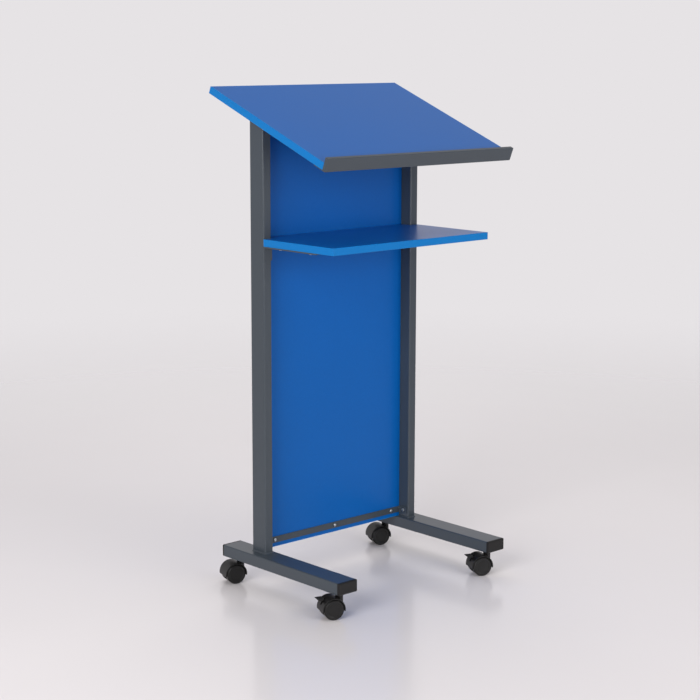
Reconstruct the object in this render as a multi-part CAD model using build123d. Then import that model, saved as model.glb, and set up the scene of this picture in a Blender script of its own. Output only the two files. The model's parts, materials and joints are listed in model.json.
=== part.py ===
from build123d import *
import os

# Presentation lectern: two steel uprights on flat feet, a board panel between them, a sloping
# reading board with a paper stop, a shelf, and four hooded twin-wheel castors.
# Millimetres. +X is the reader's right, +Y points at the audience, +Z is up.
# The origin is on the floor, under the middle of the footprint.

# Uprights and feet
FRAME_WIDTH = 524.0  # over the outer faces of the uprights
UPRIGHT_WIDTH = 25.0
UPRIGHT_DEPTH = 50.0
UPRIGHT_FACE_Y = 79.0  # the face towards the reader
UPRIGHT_WALL = 1.5
FOOT_WIDTH = 60.0
FOOT_HEIGHT = 30.0
FOOT_WALL = 2.0
FOOT_TOP_Z = 95.0
FOOT_USER_Y = -217.0  # ends of the foot tube
FOOT_AUDIENCE_Y = 213.0
FOOT_OVERHANG = 26.0  # foot beyond the upright's outer face
TUBE_RADIUS = 3.0

# Foot end caps
CAP_HEAD = 7.0
CAP_BEVEL = 2.5
CAP_PLUG = 10.0
CAP_PLUG_WALL = 2.5

# Reading board, hung from its top back edge
BOARD_WIDTH = 620.0
BOARD_DEPTH = 445.0
BOARD_THICKNESS = 18.0
BOARD_BACK_Y = 218.0
BOARD_BACK_Z = 1250.0
BOARD_TILT = 21.5
EDGING = 2.0  # thickness of the edge strip
EDGING_ROUND = 1.0

# Plates under the reading board
DESK_PLATE_THICKNESS = 4.0
DESK_PLATE_START = -330.0  # along the slope, from the board's back edge
DESK_PLATE_END = -50.0
DESK_SCREWS_ALONG = (-310.0, -205.0, -75.0)

# Paper stop, folded from sheet round the board's lower edge
STOP_DEPTH = 10.0
STOP_RISE = 14.0
STOP_SHEET = 1.5
STOP_FLANGE = 30.0
STOP_BACK_DROP = 13.0
STOP_SCREWS_X = (-265.0, -90.0, 90.0, 265.0)

# Shelf
SHELF_TOP_Z = 886.0
SHELF_THICKNESS = 18.0
SHELF_REACH = 252.0  # in front of the uprights
SHELF_SIDE_GAP = 1.0  # tongue to upright
BRACKET_SHEET = 3.0
BRACKET_REACH = 190.0
BRACKET_LEG = 35.0
BRACKET_BEND = 4.0
SHELF_SCREWS_OUT = (50.0, 160.0)  # in front of the uprights

# Front panel and the two rails that hold it
PANEL_SETBACK = 34.0  # reader-side face of the panel behind that of the uprights
PANEL_THICKNESS = 15.0
PANEL_BOTTOM_Z = 96.0
PANEL_TOP_Z = 1184.0
PANEL_SIDE_GAP = 1.0
PANEL_EDGING = 1.0
RAIL_SHEET = 2.0
RAIL_HEIGHT = 16.0
RAIL_TAB = 28.0
RAIL_BEND = 3.0
RAIL_CENTRES_Z = {"bottom": 114.5, "top": 1160.0}
RAIL_SCREWS_X = (-204.0, 0.0, 204.0)
TAB_SCREW_FORWARD = 17.0  # tab screw in front of the panel

# Screws: shank diameter, head diameter, head height
SCREW_SHANK = 4.0
SCREW_HEAD = 8.5
SCREW_HEAD_HEIGHT = 2.8
SCREW_RECESS = 1.3
SCREW_RECESS_SPAN = 4.6
SCREW_RECESS_SLOT = 1.1

# Castors
CASTOR_USER = (258.0, -191.0)  # stem at the reader's end of the right foot
CASTOR_AUDIENCE = (255.0, 187.0)  # stem at the other end
WHEEL_RADIUS = 25.0
WHEEL_WIDTH = 16.0
WHEEL_BORE = 6.1
WHEEL_BORE_DEPTH = 12.0
WHEEL_RECESS_INNER = 8.5
WHEEL_RECESS_OUTER = 21.5
WHEEL_RECESS_DEPTH = 9.0
TRAIL = 20.0  # wheel axis behind the stem
WEB_HALF = 7.0  # half the thickness of the web between the wheels
WHEEL_CLEARANCE = 0.6  # wheel to web
HOOD_RADIUS = 29.0
HOOD_INNER = 26.5
HOOD_HALF_WIDTH = 23.0
HOOD_DROP = 4.0  # hood edge below the axle
HUB_RADIUS = 9.0
NECK_RADIUS = 9.5
NECK_TOP_Z = 61.2
AXLE = 6.0
AXLE_LENGTH = 37.0
STEM_PIN = 8.0
STEM_CLEARANCE = 0.05
STEM_BOTTOM_Z = 35.0
STEM_HEX = 15.0
STEM_HEX_Z = 61.5
STEM_THREAD = 10.0
STEM_THREAD_TOP_Z = 82.0
NUT_HEX = 17.0
NUT_HEIGHT = 8.0
CLIP_Z = 40.0
CLIP_THICKNESS = 1.0
CLIP_OUTER = 10.0
CLIP_INNER = 6.6

# Brake pedal, in the plane of the wheel: (behind the axle, above the axle)
PEDAL_PIVOT = (14.0, 14.0)
PEDAL_BAR = (2.0, 14.5)
PEDAL_BAR_RADIUS = 2.25
PEDAL_BAR_HALF = 11.0
PEDAL_ARM_HALF = 3.0
PEDAL_PAD_HALF = 11.0
PEDAL_PIN = 3.0
PEDAL_PIN_CLEARANCE = 0.05
PEDAL_SLOT_HALF = 3.5
PEDAL_SLOT_OUTLINE = (
    (-2.5, 9.5), (8, 7.5), (19, 8), (27, 10), (42, 12),
    (42, 37), (20, 37), (13.5, 22.8), (-2.5, 22.8),
)  # room for the arm to swing
PEDAL_BAR_OUTLINE = ((-2, 10.5), (7, 10.5), (7, 22.8), (-2, 22.8))  # room for the cross-bar
PEDAL_PAD_OUTLINE = (
    (21.5, 25.6), (24.0, 23.6), (33.0, 23.2),
    (38.5, 26.6), (38.0, 27.6), (22.0, 28.2),
)

# Castor name: (side of X, stem on the right foot, swivel angle at rest, braked)
CASTORS = {
    "user_left": (-1, CASTOR_USER, 22.0, True),
    "user_right": (1, CASTOR_USER, 24.0, True),
    "audience_left": (-1, CASTOR_AUDIENCE, 17.0, False),
    "audience_right": (1, CASTOR_AUDIENCE, 22.0, False),
}

# Worked out from the above
SIDES = {"left": -1, "right": 1}
OUTER_X = FRAME_WIDTH / 2
INNER_X = OUTER_X - UPRIGHT_WIDTH
UPRIGHT_X = OUTER_X - UPRIGHT_WIDTH / 2
UPRIGHT_Y = UPRIGHT_FACE_Y + UPRIGHT_DEPTH / 2
FOOT_X = OUTER_X + FOOT_OVERHANG - FOOT_WIDTH / 2
FOOT_MID_Z = FOOT_TOP_Z - FOOT_HEIGHT / 2
FOOT_BOTTOM_Z = FOOT_TOP_Z - FOOT_HEIGHT
FOOT_LENGTH = FOOT_AUDIENCE_Y - FOOT_USER_Y
PANEL_FACE_Y = UPRIGHT_FACE_Y + PANEL_SETBACK
BOARD = Pos(0, BOARD_BACK_Y, BOARD_BACK_Z) * Rot(BOARD_TILT, 0, 0)  # top face, back edge
BOARD_UNDER = -BOARD_THICKNESS


def block(x, y, z):
    """A box between two bounds in each direction."""
    low, high = Vector(x[0], y[0], z[0]), Vector(x[1], y[1], z[1])
    size = high - low
    return Pos(*((low + high) / 2)) * Box(size.X, size.Y, size.Z)


def tube(width, depth, length, wall):
    """Rectangular tube with rounded corners, standing on the XY plane."""
    outer = extrude(RectangleRounded(width, depth, TUBE_RADIUS), length)
    bore = RectangleRounded(width - 2 * wall, depth - 2 * wall, TUBE_RADIUS - wall)
    return outer - extrude(bore, length)


def hole(x, y, z, radius, depth):
    """A cylinder to cut, standing on z and running up."""
    return Pos(x, y, z + depth / 2) * Cylinder(radius, depth)


def round_outside(part, axis):
    """Break the long corners of an edge strip's outer face, the one furthest along axis."""
    return fillet(part.faces().sort_by(axis)[-1].edges(), EDGING_ROUND)


def pan_screw(length):
    """Pan-head screw with a cross recess: head above the XY plane, shank below."""
    shank = Pos(0, 0, -length / 2) * Cylinder(SCREW_SHANK / 2, length)
    shank = chamfer(shank.faces().sort_by(Axis.Z)[0].edges(), SCREW_SHANK / 4)
    head = Pos(0, 0, SCREW_HEAD_HEIGHT / 2) * Cylinder(SCREW_HEAD / 2, SCREW_HEAD_HEIGHT)
    head = fillet(head.faces().sort_by(Axis.Z)[-1].edges(), SCREW_HEAD_HEIGHT * 0.6)
    recess_z = SCREW_HEAD_HEIGHT - SCREW_RECESS / 2
    slot = Box(SCREW_RECESS_SPAN, SCREW_RECESS_SLOT, SCREW_RECESS)
    cross = slot + Rot(0, 0, 90) * slot
    return shank + head - Pos(0, 0, recess_z) * cross


# ---- uprights, feet and their caps

def upright(side):
    """Upright standing on the foot, its top cut to the slope, with holes for the rail screws."""
    body = Pos(side * UPRIGHT_X, UPRIGHT_Y, FOOT_TOP_Z) * tube(
        UPRIGHT_WIDTH, UPRIGHT_DEPTH, BOARD_BACK_Z - FOOT_TOP_Z, UPRIGHT_WALL
    )
    above = BOARD * Pos(0, 0, BOARD_UNDER - DESK_PLATE_THICKNESS) * block(
        (-BOARD_WIDTH, BOARD_WIDTH), (-BOARD_DEPTH, BOARD_DEPTH), (0, BOARD_DEPTH)
    )
    wall_x = side * (INNER_X + UPRIGHT_WALL / 2)
    for z in RAIL_CENTRES_Z.values():
        drill = Rot(0, 90, 0) * Cylinder(SCREW_SHANK / 2, 2 * UPRIGHT_WALL)
        body -= Pos(wall_x, PANEL_FACE_Y - TAB_SCREW_FORWARD, z) * drill
    return body - above


def foot(side):
    """Foot tube lying flat along Y, drilled underneath for the castor stems."""
    lying = Rot(-90, 0, 0) * tube(FOOT_WIDTH, FOOT_HEIGHT, FOOT_LENGTH, FOOT_WALL)
    body = Pos(side * FOOT_X, FOOT_USER_Y, FOOT_MID_Z) * lying
    for x, y in (CASTOR_USER, CASTOR_AUDIENCE):
        body -= hole(side * x, y, FOOT_BOTTOM_Z - 1, STEM_THREAD / 2, FOOT_WALL + 2)
    return body


def foot_cap():
    """End cap: bevelled head on +Z, hollow plug below, closing a tube end on the XY plane."""
    head = extrude(RectangleRounded(FOOT_WIDTH, FOOT_HEIGHT, TUBE_RADIUS), CAP_HEAD)
    head = chamfer(head.faces().sort_by(Axis.Z)[-1].edges(), CAP_BEVEL)
    width = FOOT_WIDTH - 2 * FOOT_WALL
    height = FOOT_HEIGHT - 2 * FOOT_WALL
    plug = RectangleRounded(width, height, TUBE_RADIUS - FOOT_WALL)
    inside = Rectangle(width - 2 * CAP_PLUG_WALL, height - 2 * CAP_PLUG_WALL)
    return head + extrude(plug - inside, -CAP_PLUG)


# ---- boards with their edge strips

def reading_board():
    """Core of the reading board, drilled underneath, and its four edge strips."""
    half = BOARD_WIDTH / 2
    across = (-half + EDGING, half - EDGING)
    along = (-BOARD_DEPTH + EDGING, -EDGING)
    thick = (BOARD_UNDER, 0)
    core = block(across, along, thick)
    for x, y in desk_screw_spots() + stop_screw_spots():
        core -= hole(x, y, BOARD_UNDER, SCREW_SHANK / 2, BOARD_THICKNESS * 0.7)
    whole = (-BOARD_DEPTH, 0)
    strips = [
        round_outside(block((-half, -half + EDGING), whole, thick), -Axis.X),
        round_outside(block((half - EDGING, half), whole, thick), Axis.X),
        round_outside(block(across, (-BOARD_DEPTH, along[0]), thick), -Axis.Y),
        round_outside(block(across, (along[1], 0), thick), Axis.Y),
    ]
    return BOARD * core, BOARD * Compound(strips)


def desk_screw_spots():
    """Where the plate screws enter the board, across and along the slope."""
    return [(side * UPRIGHT_X, y) for side in SIDES.values() for y in DESK_SCREWS_ALONG]


def stop_screw_spots():
    """Where the paper stop's screws enter the board."""
    return [(x, -BOARD_DEPTH + STOP_FLANGE / 2 + EDGING) for x in STOP_SCREWS_X]


def shelf():
    """Core of the shelf, with the tongue that passes between the uprights, and its strips."""
    front = UPRIGHT_FACE_Y - SHELF_REACH
    thick = (SHELF_TOP_Z - SHELF_THICKNESS, SHELF_TOP_Z)
    tongue = INNER_X - SHELF_SIDE_GAP
    across = (-OUTER_X + EDGING, OUTER_X - EDGING)
    core = block(across, (front + EDGING, UPRIGHT_FACE_Y), thick)
    core += block((-tongue, tongue), (UPRIGHT_FACE_Y, PANEL_FACE_Y), thick)
    for x, y in shelf_screw_spots():
        core -= hole(x, y, thick[0], SCREW_SHANK / 2, SHELF_THICKNESS * 0.7)
    side = (front, UPRIGHT_FACE_Y)
    strips = [
        round_outside(block((-OUTER_X, -OUTER_X + EDGING), side, thick), -Axis.X),
        round_outside(block((OUTER_X - EDGING, OUTER_X), side, thick), Axis.X),
        round_outside(block(across, (front, front + EDGING), thick), -Axis.Y),
    ]
    return core, Compound(strips)


def shelf_screw_spots():
    """Where the bracket screws enter the shelf."""
    return [
        (side * UPRIGHT_X, UPRIGHT_FACE_Y - out)
        for side in SIDES.values()
        for out in SHELF_SCREWS_OUT
    ]


def front_panel():
    """Core of the front panel, drilled for the rail screws, and its four edge strips."""
    half = INNER_X - PANEL_SIDE_GAP
    deep = (PANEL_FACE_Y, PANEL_FACE_Y + PANEL_THICKNESS)
    across = (-half + PANEL_EDGING, half - PANEL_EDGING)
    upright_span = (PANEL_BOTTOM_Z + PANEL_EDGING, PANEL_TOP_Z - PANEL_EDGING)
    core = block(across, deep, upright_span)
    depth = PANEL_THICKNESS * 0.7
    for x in RAIL_SCREWS_X:
        for z in RAIL_CENTRES_Z.values():
            drill = Rot(90, 0, 0) * Cylinder(SCREW_SHANK / 2, depth)
            core -= Pos(x, PANEL_FACE_Y + depth / 2, z) * drill
    whole = (PANEL_BOTTOM_Z, PANEL_TOP_Z)
    strips = [
        block((-half, across[0]), deep, whole),
        block((across[1], half), deep, whole),
        block(across, deep, (PANEL_BOTTOM_Z, upright_span[0])),
        block(across, deep, (upright_span[1], PANEL_TOP_Z)),
    ]
    return core, Compound(strips)


# ---- brackets, rails and the paper stop

def desk_plate(side):
    """Flat plate welded on the sloping top of an upright, under the reading board."""
    half = UPRIGHT_WIDTH / 2
    thick = (BOARD_UNDER - DESK_PLATE_THICKNESS, BOARD_UNDER)
    across = (side * UPRIGHT_X - half, side * UPRIGHT_X + half)
    plate = block(across, (DESK_PLATE_START, DESK_PLATE_END), thick)
    plate = fillet(plate.edges().filter_by(Axis.Z), half / 3)
    for y in DESK_SCREWS_ALONG:
        plate -= hole(side * UPRIGHT_X, y, thick[0] - 1, SCREW_SHANK / 2, DESK_PLATE_THICKNESS + 2)
    return BOARD * plate


def shelf_bracket(side):
    """Bent bracket: a leg on the upright's face and an arm under the end of the shelf."""
    top = SHELF_TOP_Z - SHELF_THICKNESS
    half = UPRIGHT_WIDTH / 2
    across = (side * UPRIGHT_X - half, side * UPRIGHT_X + half)
    arm_y = (UPRIGHT_FACE_Y - BRACKET_REACH, UPRIGHT_FACE_Y)
    arm = block(across, arm_y, (top - BRACKET_SHEET, top))
    leg_y = (UPRIGHT_FACE_Y - BRACKET_SHEET, UPRIGHT_FACE_Y)
    bracket = arm + block(across, leg_y, (top - BRACKET_LEG, top))
    corners = bracket.edges().filter_by(Axis.X).group_by(Axis.Y)[-1].sort_by(Axis.Z)
    bracket = fillet(corners[-1], BRACKET_BEND)
    ends = bracket.edges().filter_by(Axis.Z).group_by(Axis.Y)[0]
    bracket = fillet(ends, half / 3)
    for out in SHELF_SCREWS_OUT:
        bracket -= hole(
            side * UPRIGHT_X, UPRIGHT_FACE_Y - out, top - BRACKET_SHEET - 1,
            SCREW_SHANK / 2, BRACKET_SHEET + 2,
        )
    return bracket


def rail(z):
    """Strip across the reader's side of the panel, its ends bent forward against the uprights."""
    face = PANEL_FACE_Y
    points = [(-INNER_X, face - RAIL_TAB), (-INNER_X, face), (INNER_X, face), (INNER_X, face - RAIL_TAB)]
    inside = [
        (INNER_X - RAIL_SHEET, face - RAIL_TAB), (INNER_X - RAIL_SHEET, face - RAIL_SHEET),
        (-INNER_X + RAIL_SHEET, face - RAIL_SHEET), (-INNER_X + RAIL_SHEET, face - RAIL_TAB),
    ]
    outline = make_face(Polyline(*points, *inside, close=True))
    low = z - RAIL_HEIGHT / 2
    strip = Pos(0, 0, low) * extrude(outline, RAIL_HEIGHT)
    bends = strip.edges().filter_by(Axis.Z).group_by(Axis.Y)
    strip = fillet(bends[-1], RAIL_BEND)
    inner_bends = strip.edges().filter_by(Axis.Z).filter_by_position(
        Axis.Y, face - RAIL_SHEET - 0.1, face - RAIL_SHEET + 0.1
    ).filter_by_position(Axis.X, -INNER_X + RAIL_SHEET - 0.1, INNER_X - RAIL_SHEET + 0.1)
    corners = [e for e in inner_bends if abs(abs(e.center().X) - INNER_X + RAIL_SHEET) < 0.1]
    strip = fillet(corners, RAIL_BEND - RAIL_SHEET)
    for x in RAIL_SCREWS_X:
        drill = Rot(90, 0, 0) * Cylinder(SCREW_SHANK / 2, 3 * RAIL_SHEET)
        strip -= Pos(x, face - RAIL_SHEET / 2, z) * drill
    tab_y = face - TAB_SCREW_FORWARD
    return strip - Pos(0, tab_y, z) * Rot(0, 90, 0) * Cylinder(SCREW_SHANK / 2, FRAME_WIDTH)


def paper_stop():
    """Folded rim in front of the board's lower edge, closed at its ends, with a flange below."""
    half = BOARD_WIDTH / 2
    front = -BOARD_DEPTH - STOP_DEPTH
    under = BOARD_UNDER - STOP_SHEET
    rim_back = -BOARD_DEPTH
    outer = block((-half, half), (front, rim_back), (under, STOP_RISE))
    outer = fillet(outer.edges().filter_by(Axis.X).group_by(Axis.Y)[0], STOP_SHEET)
    hollow = block(
        (-half + STOP_SHEET, half - STOP_SHEET),
        (front + STOP_SHEET, rim_back - STOP_SHEET),
        (BOARD_UNDER, STOP_RISE - STOP_SHEET),
    )
    below_back = block(
        (-half + STOP_SHEET, half - STOP_SHEET), (rim_back - STOP_SHEET, rim_back + 1),
        (BOARD_UNDER, STOP_RISE - STOP_BACK_DROP),
    )
    flange = block((-half, half), (rim_back, rim_back + STOP_FLANGE), (under, BOARD_UNDER))
    stop = outer - hollow - below_back + flange
    for x, y in stop_screw_spots():
        stop -= hole(x, y, under - 1, SCREW_SHANK / 2, STOP_SHEET + 2)
    return BOARD * stop


# ---- screws

def screws_up(spots, head_z, length):
    """Screws driven upwards, their heads' seats at head_z."""
    return Compound([Pos(x, y, head_z) * Rot(180, 0, 0) * pan_screw(length) for x, y in spots])


def panel_screws():
    """Screws through the rails into the panel."""
    length = PANEL_THICKNESS * 0.7
    seat = PANEL_FACE_Y - RAIL_SHEET
    driven = Rot(90, 0, 0) * pan_screw(length)
    spots = [(x, z) for x in RAIL_SCREWS_X for z in RAIL_CENTRES_Z.values()]
    return Compound([Pos(x, seat, z) * driven for x, z in spots])


def tab_screws():
    """Screws through the rails' end tabs into the uprights."""
    made = []
    for side in SIDES.values():
        for z in RAIL_CENTRES_Z.values():
            seat = Pos(side * (INNER_X - RAIL_SHEET), PANEL_FACE_Y - TAB_SCREW_FORWARD, z)
            made.append(seat * Rot(0, -90 * side, 0) * pan_screw(3 * RAIL_SHEET))
    return Compound(made)


# ---- castors, each in its own frame: stem on the Z axis, wheels trailing towards -X

def across(radius, half, centre=(0.0, 0.0)):
    """A cylinder along the axle's direction, centred (behind, above) from the axle."""
    at = Pos(-TRAIL - centre[0], 0, WHEEL_RADIUS + centre[1])
    return at * Rot(90, 0, 0) * Cylinder(radius, 2 * half)


def plate_across(points, half):
    """A flat plate in the wheel's plane from points (behind, above) the axle."""
    corners = [(-TRAIL - behind, 0, WHEEL_RADIUS + above) for behind, above in points]
    return extrude(make_face(Polyline(*corners, close=True)), half, both=True)


def swept_plate(stations, half):
    """A plate of round-ended links between stations (behind, above, radius)."""
    made = None
    for start, end in zip(stations, stations[1:]):
        ends = [across(s[2], half, s[:2]) for s in (start, end)]
        run = Vector(end[0] - start[0], end[1] - start[1])
        side = Vector(-run.Y, run.X).normalized()
        corners = [
            (start[0] + side.X * start[2], start[1] + side.Y * start[2]),
            (end[0] + side.X * end[2], end[1] + side.Y * end[2]),
            (end[0] - side.X * end[2], end[1] - side.Y * end[2]),
            (start[0] - side.X * start[2], start[1] - side.Y * start[2]),
        ]
        link = ends[0] + ends[1] + plate_across(corners, half)
        made = link if made is None else made + link
    return made


def housing(braked):
    """Hood over both wheels, the web between them that holds the axle, and the stem's neck."""
    hood = across(HOOD_RADIUS, HOOD_HALF_WIDTH)
    hood = fillet(hood.edges(), 1.2)
    stand = (Align.CENTER, Align.CENTER, Align.MIN)
    neck = Cylinder(NECK_RADIUS, NECK_TOP_Z - WHEEL_RADIUS, align=stand)
    neck = chamfer(neck.faces().sort_by(Axis.Z)[-1].edges(), 1.0)
    shape = hood + Pos(0, 0, WHEEL_RADIUS) * neck
    reach = 2 * HOOD_RADIUS + NECK_RADIUS
    edge_z = WHEEL_RADIUS - HOOD_DROP
    shape -= block((-reach - TRAIL, reach), (-reach, reach), (-reach, edge_z))
    pocket_half = HOOD_HALF_WIDTH + 1 - WEB_HALF
    for side in (-1, 1):
        shape -= Pos(0, side * (WEB_HALF + pocket_half), 0) * across(HOOD_INNER, pocket_half)
    shape += across(HUB_RADIUS, WEB_HALF)
    shape -= across(AXLE / 2, WEB_HALF + 1)
    bore = STEM_PIN / 2 + STEM_CLEARANCE
    shape -= hole(0, 0, STEM_BOTTOM_Z - 0.5, bore, NECK_TOP_Z)
    shape -= hole(0, 0, CLIP_Z - CLIP_THICKNESS, CLIP_OUTER / 2 + 0.4, 3 * CLIP_THICKNESS)
    if braked:
        shape -= plate_across(PEDAL_SLOT_OUTLINE, PEDAL_SLOT_HALF)
        shape -= plate_across(PEDAL_BAR_OUTLINE, WEB_HALF + 1)
        shape -= across(PEDAL_PIN / 2, WEB_HALF + 1, PEDAL_PIVOT)
    return shape


def wheel(side):
    """One wheel: crowned rim, ringed outer disc, deep recess and blind bore on the inner face."""
    near = WEB_HALF + WHEEL_CLEARANCE
    profile = [
        (0, WHEEL_WIDTH - 0.8), (16.5, WHEEL_WIDTH - 0.8), (18, WHEEL_WIDTH), (22.5, WHEEL_WIDTH),
        (24.3, WHEEL_WIDTH - 1.2), (WHEEL_RADIUS, WHEEL_WIDTH - 3.5), (WHEEL_RADIUS, 2.5),
        (24.3, 0.7), (23.0, 0), (WHEEL_RECESS_OUTER, 0), (WHEEL_RECESS_OUTER, WHEEL_RECESS_DEPTH),
        (WHEEL_RECESS_INNER, WHEEL_RECESS_DEPTH), (WHEEL_RECESS_INNER, 0), (WHEEL_BORE / 2, 0),
        (WHEEL_BORE / 2, WHEEL_BORE_DEPTH), (0, WHEEL_BORE_DEPTH),
    ]
    section = make_face(Polyline(*[(r, 0, w) for r, w in profile], close=True))
    turned = revolve(section, Axis.Z)
    return Pos(-TRAIL, side * near, WHEEL_RADIUS) * Rot(-90 * side, 0, 0) * turned


def axle():
    """Plain pin pressed through the web."""
    return chamfer(across(AXLE / 2, AXLE_LENGTH / 2).edges().filter_by(GeomType.CIRCLE), 0.6)


def pedal():
    """Brake lever: cross-bar reaching into both wheels, pivot boss, arm and foot pad."""
    arm = swept_plate(
        [(*PEDAL_BAR, PEDAL_BAR_RADIUS), (*PEDAL_PIVOT, 3.6), (27.0, 23.5, 2.6)], PEDAL_ARM_HALF
    )
    pad = plate_across(PEDAL_PAD_OUTLINE, PEDAL_PAD_HALF)
    bar = across(PEDAL_BAR_RADIUS, PEDAL_BAR_HALF, PEDAL_BAR)
    bore = across(PEDAL_PIN / 2 + PEDAL_PIN_CLEARANCE, PEDAL_PAD_HALF, PEDAL_PIVOT)
    return arm + pad + bar - bore


def stem():
    """Castor stem: thread into the foot, hexagon collar, plain pin with a clip groove."""
    pin = hole(0, 0, STEM_BOTTOM_Z, STEM_PIN / 2, STEM_HEX_Z - STEM_BOTTOM_Z)
    pin = chamfer(pin.faces().sort_by(Axis.Z)[0].edges(), 1.0)
    collar = Pos(0, 0, STEM_HEX_Z) * extrude(
        RegularPolygon(STEM_HEX / 2, 6, major_radius=False), FOOT_BOTTOM_Z - STEM_HEX_Z
    )
    thread = hole(0, 0, FOOT_BOTTOM_Z, STEM_THREAD / 2, STEM_THREAD_TOP_Z - FOOT_BOTTOM_Z)
    thread = chamfer(thread.faces().sort_by(Axis.Z)[-1].edges(), 1.0)
    groove = hole(0, 0, CLIP_Z, STEM_PIN, CLIP_THICKNESS) - hole(
        0, 0, CLIP_Z, CLIP_INNER / 2, CLIP_THICKNESS
    )
    return pin + collar + thread - groove


def stem_clip():
    """Open spring clip in the stem's groove."""
    ring = hole(0, 0, CLIP_Z, CLIP_OUTER / 2, CLIP_THICKNESS) - hole(
        0, 0, CLIP_Z, CLIP_INNER / 2, CLIP_THICKNESS
    )
    gap = block((0, CLIP_OUTER), (-1.2, 1.2), (CLIP_Z - 1, CLIP_Z + 1 + CLIP_THICKNESS))
    return ring - gap


def weld_nut():
    """Nut welded inside the foot over the stem hole."""
    bottom = FOOT_BOTTOM_Z + FOOT_WALL
    body = Pos(0, 0, bottom) * extrude(RegularPolygon(NUT_HEX / 2, 6, major_radius=False), NUT_HEIGHT)
    return body - hole(0, 0, bottom - 1, STEM_THREAD / 2, NUT_HEIGHT + 2)


def castor_place(name):
    """Where a castor's own frame sits on the lectern."""
    side, (x, y), swivel, _ = CASTORS[name]
    return Pos(side * x, y, 0) * Rot(0, 0, -swivel)


# ---- every sub-part by name

def build():
    """All sub-parts in the lectern's frame."""
    parts = {}
    for name, side in SIDES.items():
        parts[f"{name}_upright"] = upright(side)
        parts[f"{name}_foot"] = foot(side)
        parts[f"{name}_desk_plate"] = desk_plate(side)
        parts[f"{name}_shelf_bracket"] = shelf_bracket(side)
        user_end = Pos(side * FOOT_X, FOOT_USER_Y, FOOT_MID_Z) * Rot(90, 0, 0)
        audience_end = Pos(side * FOOT_X, FOOT_AUDIENCE_Y, FOOT_MID_Z) * Rot(-90, 0, 0)
        parts[f"{name}_foot_cap_user"] = user_end * foot_cap()
        parts[f"{name}_foot_cap_audience"] = audience_end * foot_cap()
    parts["reading_board"], parts["reading_board_edging"] = reading_board()
    parts["shelf_board"], parts["shelf_board_edging"] = shelf()
    parts["front_panel"], parts["front_panel_edging"] = front_panel()
    for name, z in RAIL_CENTRES_Z.items():
        parts[f"{name}_rail"] = rail(z)
    parts["paper_stop"] = paper_stop()
    parts["panel_screws"] = panel_screws()
    parts["tab_screws"] = tab_screws()
    plate_seat = BOARD_UNDER - DESK_PLATE_THICKNESS
    parts["desk_screws"] = BOARD * screws_up(desk_screw_spots(), plate_seat, 16.0)
    stop_seat = BOARD_UNDER - STOP_SHEET
    parts["paper_stop_screws"] = BOARD * screws_up(stop_screw_spots(), stop_seat, 13.5)
    bracket_seat = SHELF_TOP_Z - SHELF_THICKNESS - BRACKET_SHEET
    parts["shelf_screws"] = screws_up(shelf_screw_spots(), bracket_seat, 15.0)

    places = {name: castor_place(name) for name in CASTORS}
    parts["castor_weld_nuts"] = Compound([place * weld_nut() for place in places.values()])
    parts["stem_clips"] = Compound([place * stem_clip() for place in places.values()])
    for name, place in places.items():
        braked = CASTORS[name][3]
        parts[f"{name}_stem"] = place * stem()
        parts[f"{name}_housing"] = place * housing(braked)
        parts[f"{name}_axle"] = place * axle()
        parts[f"{name}_near_wheel"] = place * wheel(-1)
        parts[f"{name}_far_wheel"] = place * wheel(1)
        if braked:
            parts[f"{name}_brake_pedal"] = place * pedal()
            parts[f"{name}_brake_pin"] = place * across(PEDAL_PIN / 2, WEB_HALF, PEDAL_PIVOT)
    return parts


os.makedirs("parts", exist_ok=True)
for node, shape in build().items():
    export_step(shape, f"parts/{node}.step")
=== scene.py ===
import json
import math

import bmesh
import bpy
from mathutils import Matrix, Vector


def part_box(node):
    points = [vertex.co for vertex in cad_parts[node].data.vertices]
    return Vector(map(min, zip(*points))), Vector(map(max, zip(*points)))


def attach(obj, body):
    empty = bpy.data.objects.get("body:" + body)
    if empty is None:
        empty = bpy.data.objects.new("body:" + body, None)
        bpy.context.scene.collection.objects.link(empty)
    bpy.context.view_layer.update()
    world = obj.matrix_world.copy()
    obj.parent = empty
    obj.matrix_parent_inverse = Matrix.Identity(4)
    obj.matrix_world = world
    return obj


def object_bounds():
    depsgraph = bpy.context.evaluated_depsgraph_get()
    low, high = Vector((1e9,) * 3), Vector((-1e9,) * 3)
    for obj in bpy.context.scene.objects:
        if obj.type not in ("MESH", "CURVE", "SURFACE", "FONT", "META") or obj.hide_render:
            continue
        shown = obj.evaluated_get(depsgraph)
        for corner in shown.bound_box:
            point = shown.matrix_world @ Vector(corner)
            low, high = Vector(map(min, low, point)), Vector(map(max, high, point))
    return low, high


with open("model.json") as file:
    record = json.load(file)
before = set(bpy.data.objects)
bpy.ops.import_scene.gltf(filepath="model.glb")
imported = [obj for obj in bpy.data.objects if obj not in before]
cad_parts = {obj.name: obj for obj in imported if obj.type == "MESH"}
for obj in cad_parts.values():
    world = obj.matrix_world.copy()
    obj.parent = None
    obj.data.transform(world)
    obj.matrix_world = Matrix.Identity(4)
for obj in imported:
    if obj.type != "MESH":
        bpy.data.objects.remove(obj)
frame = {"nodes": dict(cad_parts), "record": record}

NODES = frame["nodes"]
CAD_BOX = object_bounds()
SCENE = bpy.context.scene


# ---- procedural materials

def srgb(red, green, blue):
    """A linear colour from display values between 0 and 255."""
    values = [v / 255 for v in (red, green, blue)]
    linear = [v / 12.92 if v <= 0.04045 else ((v + 0.055) / 1.055) ** 2.4 for v in values]
    return (*linear, 1.0)


def shade(colour, factor):
    """The same colour, lighter or darker."""
    return (*[min(1.0, c * factor) for c in colour[:3]], 1.0)


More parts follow.
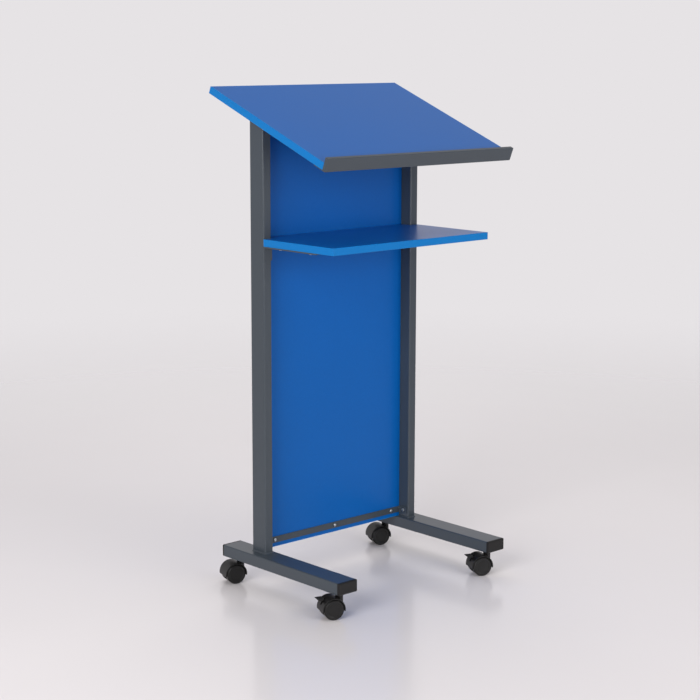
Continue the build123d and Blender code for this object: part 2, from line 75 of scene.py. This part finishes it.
class Surface:
    """One material: a Principled shader with noise-driven colour, roughness and relief."""

    def __init__(self, name, **sockets):
        self.mat = bpy.data.materials.new(name)
        self.mat.use_nodes = True
        self.tree = self.mat.node_tree
        self.shader = self.tree.nodes["Principled BSDF"]
        for socket, value in sockets.items():
            self.shader.inputs[socket.replace("_", " ")].default_value = value
        self.place = self.add("ShaderNodeTexCoord").outputs["Object"]
        self.normal = None

    def add(self, kind, **settings):
        node = self.tree.nodes.new(kind)
        for key, value in settings.items():
            setattr(node, key, value)
        return node

    def link(self, source, target):
        self.tree.links.new(source, target)

    def stretched(self, scale):
        """The object's coordinates scaled along each direction."""
        mapping = self.add("ShaderNodeMapping")
        mapping.inputs["Scale"].default_value = scale
        self.link(self.place, mapping.inputs["Vector"])
        return mapping.outputs["Vector"]

    def noise(self, scale, detail=3.0, rough=0.55, stretch=None):
        node = self.add("ShaderNodeTexNoise")
        node.inputs["Scale"].default_value = scale
        node.inputs["Detail"].default_value = detail
        node.inputs["Roughness"].default_value = rough
        self.link(self.stretched(stretch) if stretch else self.place, node.inputs["Vector"])
        return node.outputs["Fac"]

    def cells(self, scale):
        """Distance to the nearest of some scattered points, rounded off."""
        node = self.add("ShaderNodeTexVoronoi", feature="SMOOTH_F1")
        node.inputs["Scale"].default_value = scale
        self.link(self.place, node.inputs["Vector"])
        return node.outputs["Distance"]

    def mix(self, factor, low, high):
        """Mixes two colours; each may be a colour or an output, and factor a number or an output."""
        node = self.add("ShaderNodeMix", data_type="RGBA")
        for socket, value in ((node.inputs[0], factor), (node.inputs[6], low), (node.inputs[7], high)):
            if isinstance(value, bpy.types.NodeSocket):
                self.link(value, socket)
            else:
                socket.default_value = value
        return node.outputs[2]

    def span(self, value, low, high, start=0.0, end=1.0):
        """Maps value from start..end to low..high."""
        node = self.add("ShaderNodeMapRange")
        for key, number in (("From Min", start), ("From Max", end), ("To Min", low), ("To Max", high)):
            node.inputs[key].default_value = number
        self.link(value, node.inputs["Value"])
        return node.outputs["Result"]

    def maths(self, operation, first, second):
        node = self.add("ShaderNodeMath", operation=operation)
        for socket, value in zip(node.inputs, (first, second)):
            if isinstance(value, bpy.types.NodeSocket):
                self.link(value, socket)
            else:
                socket.default_value = value
        return node.outputs["Value"]

    def colour(self, source):
        self.link(source, self.shader.inputs["Base Color"])

    def roughness(self, source):
        self.link(source, self.shader.inputs["Roughness"])

    def relief(self, height, depth, strength):
        """Adds a bump of that depth in metres on top of any earlier one."""
        node = self.add("ShaderNodeBump")
        node.inputs["Distance"].default_value = depth
        node.inputs["Strength"].default_value = strength
        self.link(height, node.inputs["Height"])
        if self.normal:
            self.link(self.normal, node.inputs["Normal"])
        self.normal = node.outputs["Normal"]
        self.link(self.normal, self.shader.inputs["Normal"])


def powder_coat(name, base):
    """Semi-gloss powder coat: orange peel, fine speckle, slow changes in gloss."""
    s = Surface(name, Specular_IOR_Level=0.55, IOR=1.5)
    cloud = s.noise(6.0, 3.0)
    speckle = s.noise(1600.0, 2.0)
    tone = s.mix(cloud, shade(base, 0.93), shade(base, 1.07))
    s.colour(s.mix(s.span(speckle, 0.0, 0.35, 0.45, 0.75), tone, shade(base, 1.45)))
    s.roughness(s.maths("ADD", s.span(cloud, 0.27, 0.36), s.span(speckle, -0.03, 0.03)))
    s.relief(s.noise(420.0, 2.0), 0.00006, 0.55)
    s.relief(speckle, 0.00001, 0.5)
    return s.mat


def melamine(name, base):
    """Satin laminate: fine pearl emboss, faint mottle under a clear skin."""
    s = Surface(name, Specular_IOR_Level=0.22, IOR=1.5)
    cloud = s.noise(3.5, 4.0)
    mottle = s.noise(260.0, 4.0, 0.65)
    tone = s.mix(cloud, shade(base, 0.95), shade(base, 1.05))
    s.colour(s.mix(s.span(mottle, 0.0, 0.5, 0.4, 0.8), tone, shade(base, 1.16)))
    pearl = s.cells(700.0)
    s.roughness(s.maths("ADD", s.span(cloud, 0.27, 0.34), s.span(mottle, -0.02, 0.04)))
    s.relief(pearl, 0.00004, 0.35)
    s.relief(s.noise(45.0, 2.0), 0.00008, 0.25)
    return s.mat


def edge_strip(name, base):
    """Plastic edge strip: a little brighter than the board as a painted highlight for the light the edges
    catch, with fine lines left by the trimming cutter.
    """
    s = Surface(name, Specular_IOR_Level=0.2, IOR=1.5)
    lines = s.noise(1.0, 2.0, 0.5, stretch=(40.0, 40.0, 2600.0))
    cloud = s.noise(14.0, 3.0)
    s.colour(s.mix(lines, shade(base, 0.92), shade(base, 1.10)))
    s.roughness(s.maths("ADD", s.span(cloud, 0.30, 0.38), s.span(lines, -0.04, 0.05)))
    s.relief(lines, 0.00002, 0.4)
    s.relief(s.noise(300.0, 3.0), 0.00004, 0.3)
    return s.mat


def moulded_plastic(name, base, rough, grain=900.0, depth=0.00005):
    """Moulded plastic with a spark-eroded grain."""
    s = Surface(name, Specular_IOR_Level=0.3, IOR=1.5)
    cloud = s.noise(20.0, 4.0)
    texture = s.noise(grain, 5.0, 0.7)
    s.colour(s.mix(s.span(texture, 0.0, 1.0, 0.35, 0.75), shade(base, 0.82), shade(base, 1.25)))
    s.roughness(s.maths("ADD", s.span(cloud, rough - 0.05, rough + 0.06), s.span(texture, -0.04, 0.06)))
    s.relief(texture, depth, 0.6)
    return s.mat


def plated_steel(name, base, rough, lines=(300.0, 300.0, 300.0)):
    """Zinc plate or drawn steel: bright metal with fine scratches and a faint blush of colour."""
    s = Surface(name, Metallic=1.0)
    blush = s.noise(90.0, 3.0)
    scratch = s.noise(1.0, 4.0, 0.7, stretch=lines)
    cool = (base[0] * 0.93, base[1] * 0.97, min(1.0, base[2] * 1.06), 1.0)
    tone = s.mix(blush, base, cool)
    s.colour(s.mix(s.span(scratch, 0.0, 0.6, 0.3, 0.8), tone, shade(base, 0.72)))
    s.roughness(s.maths("ADD", s.span(blush, rough - 0.05, rough + 0.07), s.span(scratch, -0.05, 0.08)))
    s.relief(scratch, 0.00001, 0.5)
    return s.mat


ANTHRACITE = powder_coat("anthracite_powder_coat", srgb(59, 67, 75))
BLUE = melamine("blue_melamine", srgb(0, 92, 172))
# The edge strips get a lighter blue than the board: a painted highlight standing in for the light falling
# on the board edges from the left.
BLUE_EDGE_PAINTED_HIGHLIGHT = edge_strip("blue_edge_strip_painted_highlight", srgb(0, 116, 190))
CAP = moulded_plastic("black_cap_plastic", srgb(26, 25, 25), 0.45)
NYLON = moulded_plastic("castor_nylon", srgb(18, 17, 17), 0.36, 600.0, 0.00003)
ZINC = plated_steel("zinc_plate", srgb(205, 207, 208), 0.27)
STEEL = plated_steel("drawn_steel", srgb(165, 167, 170), 0.30, (900.0, 900.0, 120.0))

FINISHES = {
    "anthracite_paint": ANTHRACITE,
    "blue_board": BLUE,
    "blue_edging": BLUE_EDGE_PAINTED_HIGHLIGHT,
    "black_plastic": CAP,
    "castor_nylon": NYLON,
    "zinc_plate": ZINC,
    "bright_steel": STEEL,
}
for subpart in frame["record"]["subparts"]:
    ob = NODES[subpart["node"]]
    ob.data.materials.clear()
    ob.data.materials.append(FINISHES[subpart["material_slot"]])


# ---- weld beads where the uprights stand on the feet

BEAD_LEG = 0.0032
BEAD_RIPPLE = 0.0011  # length of one ripple along the run
BEAD_CREST = 0.00018
BEAD_CROWN = 0.0003
BEAD_STEP = 0.0004  # spacing of the rings along the run
BEAD_ROOT = 0.0004  # how far the back of the bead sits inside the tube wall
BEAD_SIDES = 6
TUBE_CORNER = 0.003
CORNER_STEPS = 6


def bead_path(low, high):
    """Points (x, y, direction it faces) round the foot of a rectangular tube with rounded corners."""
    left, right = low.x + TUBE_CORNER, high.x - TUBE_CORNER
    near, far = low.y + TUBE_CORNER, high.y - TUBE_CORNER
    outline = []
    for x, y, start in ((right, far, 0), (left, far, 90), (left, near, 180), (right, near, 270)):
        for step in range(CORNER_STEPS + 1):
            turn = math.radians(start + 90 / CORNER_STEPS * step)
            outline.append((x + TUBE_CORNER * math.cos(turn), y + TUBE_CORNER * math.sin(turn), turn))
    path = []
    for (x0, y0, turn), (x1, y1, _) in zip(outline, outline[1:] + outline[:1]):
        count = max(1, round(math.hypot(x1 - x0, y1 - y0) / BEAD_STEP))
        for k in range(count):
            path.append((x0 + (x1 - x0) * k / count, y0 + (y1 - y0) * k / count, turn))
    return path


def bead_section(foot, out, travel, seed):
    """Points across the bead, from the foot's surface up to the tube's, then its root."""
    wander = 0.00025 * math.sin(travel * 310 + seed) + 0.0002 * math.sin(travel * 1270 + 2 * seed)
    crest = BEAD_CREST * (0.5 + 0.5 * math.cos(2 * math.pi * travel / BEAD_RIPPLE))
    points = []
    for side in range(BEAD_SIDES + 1):
        angle = math.radians(90 * side / BEAD_SIDES)
        swell = (crest + BEAD_CROWN) * math.sin(2 * angle)
        away = (BEAD_LEG + wander) * (1 - math.sin(angle)) + swell
        up = (BEAD_LEG + wander) * (1 - math.cos(angle)) + swell
        points.append(foot + out * away + Vector((0, 0, up)))
    return points + [foot - out * BEAD_ROOT]


def weld_bead(side, seed):
    """A painted fillet weld round the foot of an upright, with the ripples of its runs."""
    low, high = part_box(f"{side}_upright")
    path = bead_path(low, high)
    mesh = bmesh.new()
    rings = []
    travel = 0.0
    before = path[-1]
    for x, y, turn in path:
        travel += math.hypot(x - before[0], y - before[1])
        before = (x, y)
        out = Vector((math.cos(turn), math.sin(turn), 0))
        section = bead_section(Vector((x, y, low.z)), out, travel, seed)
        rings.append([mesh.verts.new(point) for point in section])
    across = len(rings[0])
    for first, second in zip(rings, rings[1:] + rings[:1]):
        for k in range(across):
            after = (k + 1) % across
            mesh.faces.new((first[k], second[k], second[after], first[after]))
    bmesh.ops.recalc_face_normals(mesh, faces=mesh.faces)
    data = bpy.data.meshes.new(f"{side}_weld_bead")
    mesh.to_mesh(data)
    mesh.free()
    for face in data.polygons:
        face.use_smooth = True
    data.materials.append(ANTHRACITE)
    bead = bpy.data.objects.new(f"{side}_weld_bead", data)
    SCENE.collection.objects.link(bead)
    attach(bead, "frame")


weld_bead("left", 0.7)
weld_bead("right", 2.1)


# ---- floor, lights and camera

FLOOR_SIZE = 24.0
FADE_START, FADE_END = 0.9, 4.6  # distance from the object over which the floor turns clear


def floor():
    """A plain pale floor with a soft gloss, fading into the backdrop far from the object."""
    mesh = bpy.data.meshes.new("floor")
    half = FLOOR_SIZE / 2
    corners = [(-half, -half, 0), (half, -half, 0), (half, half, 0), (-half, half, 0)]
    mesh.from_pydata(corners, [], [(0, 1, 2, 3)])
    ob = bpy.data.objects.new("floor", mesh)
    SCENE.collection.objects.link(ob)
    s = Surface("floor_paint", Specular_IOR_Level=0.5, IOR=1.45)
    cloud = s.noise(1.2, 3.0)
    s.colour(s.mix(cloud, srgb(232, 227, 228), srgb(237, 232, 233)))
    s.roughness(s.span(cloud, 0.14, 0.20))
    reach = s.add("ShaderNodeVectorMath", operation="LENGTH")
    s.link(s.place, reach.inputs[0])
    fade = s.add("ShaderNodeMapRange", interpolation_type="SMOOTHSTEP")
    fade.inputs["From Min"].default_value = FADE_START
    fade.inputs["From Max"].default_value = FADE_END
    s.link(reach.outputs["Value"], fade.inputs["Value"])
    blend = s.add("ShaderNodeMixShader")
    s.link(fade.outputs["Result"], blend.inputs[0])
    s.link(s.shader.outputs["BSDF"], blend.inputs[1])
    s.link(s.add("ShaderNodeBsdfTransparent").outputs["BSDF"], blend.inputs[2])
    s.link(blend.outputs["Shader"], s.tree.nodes["Material Output"].inputs["Surface"])
    mesh.materials.append(s.mat)


def area_light(name, at, towards, size, power):
    """A soft rectangular lamp in watts, aimed at a point."""
    data = bpy.data.lights.new(name, "AREA")
    data.shape = "RECTANGLE"
    data.size, data.size_y = size
    data.energy = power
    ob = bpy.data.objects.new(name, data)
    ob.location = at
    ob.rotation_euler = (Vector(towards) - Vector(at)).to_track_quat("-Z", "Y").to_euler()
    SCENE.collection.objects.link(ob)
    return ob


floor()
middle = (CAD_BOX[0] + CAD_BOX[1]) / 2
area_light("key", (-3.8, -1.3, 1.9), middle, (2.4, 2.4), 122)
area_light("fill", (0.6, -3.8, 1.3), middle, (2.6, 1.8), 62)
area_light("overhead", (-0.4, -0.6, 4.2), middle, (3.0, 3.0), 34)

# Brightens the floor behind the object only, so it stays out of reflections
wash = area_light("floor wash", (1.7, 2.1, 3.0), (1.7, 2.1, 0.0), (3.2, 3.2), 42)
wash.visible_glossy = False

WALL_DIRECTION = (0.64, 0.77, 0.0)
FRONT_GLOW, WALL_GLOW = 0.27, 0.80
TOP_GLOW = 0.5  # share of the glow left overhead

world = bpy.data.worlds.new("studio")
SCENE.world = world
world.use_nodes = True
tree = world.node_tree
background = tree.nodes["Background"]
direction = tree.nodes.new("ShaderNodeTexCoord")
towards_wall = tree.nodes.new("ShaderNodeVectorMath")
towards_wall.operation = "DOT_PRODUCT"
towards_wall.inputs[1].default_value = WALL_DIRECTION
height = tree.nodes.new("ShaderNodeSeparateXYZ")


def smooth_range(source, start, end, low, high):
    """A smooth change from low to high as source goes from start to end."""
    node = tree.nodes.new("ShaderNodeMapRange")
    node.interpolation_type = "SMOOTHSTEP"
    for key, number in (("From Min", start), ("From Max", end), ("To Min", low), ("To Max", high)):
        node.inputs[key].default_value = number
    tree.links.new(source, node.inputs["Value"])
    return node.outputs["Result"]


tree.links.new(direction.outputs["Generated"], towards_wall.inputs[0])
tree.links.new(direction.outputs["Generated"], height.inputs[0])
strength = tree.nodes.new("ShaderNodeMath")
strength.operation = "MULTIPLY"
wall_glow = smooth_range(towards_wall.outputs["Value"], -0.6, 0.7, FRONT_GLOW, WALL_GLOW)
tree.links.new(wall_glow, strength.inputs[0])
tree.links.new(smooth_range(height.outputs["Z"], 0.25, 0.60, 1.0, TOP_GLOW), strength.inputs[1])
tree.links.new(strength.outputs["Value"], background.inputs["Strength"])
background.inputs["Color"].default_value = (0.99, 0.96, 0.98, 1.0)

camera_data = bpy.data.cameras.new("camera")
camera_data.lens = 88.70
camera_data.sensor_width = 36.0
camera = bpy.data.objects.new("camera", camera_data)
SCENE.collection.objects.link(camera)
camera.location = (-2.9162, -3.1217, 1.3603)
YAW, PITCH, ROLL = (math.radians(a) for a in (42.565, -10.181, 0.129))
look = Vector((math.sin(YAW) * math.cos(PITCH), math.cos(YAW) * math.cos(PITCH), math.sin(PITCH)))
camera.rotation_mode = "QUATERNION"
camera.rotation_quaternion = look.to_track_quat("-Z", "Y") @ Matrix.Rotation(ROLL, 3, "Z").to_quaternion()
SCENE.camera = camera
SCENE.view_settings.view_transform = "Standard"
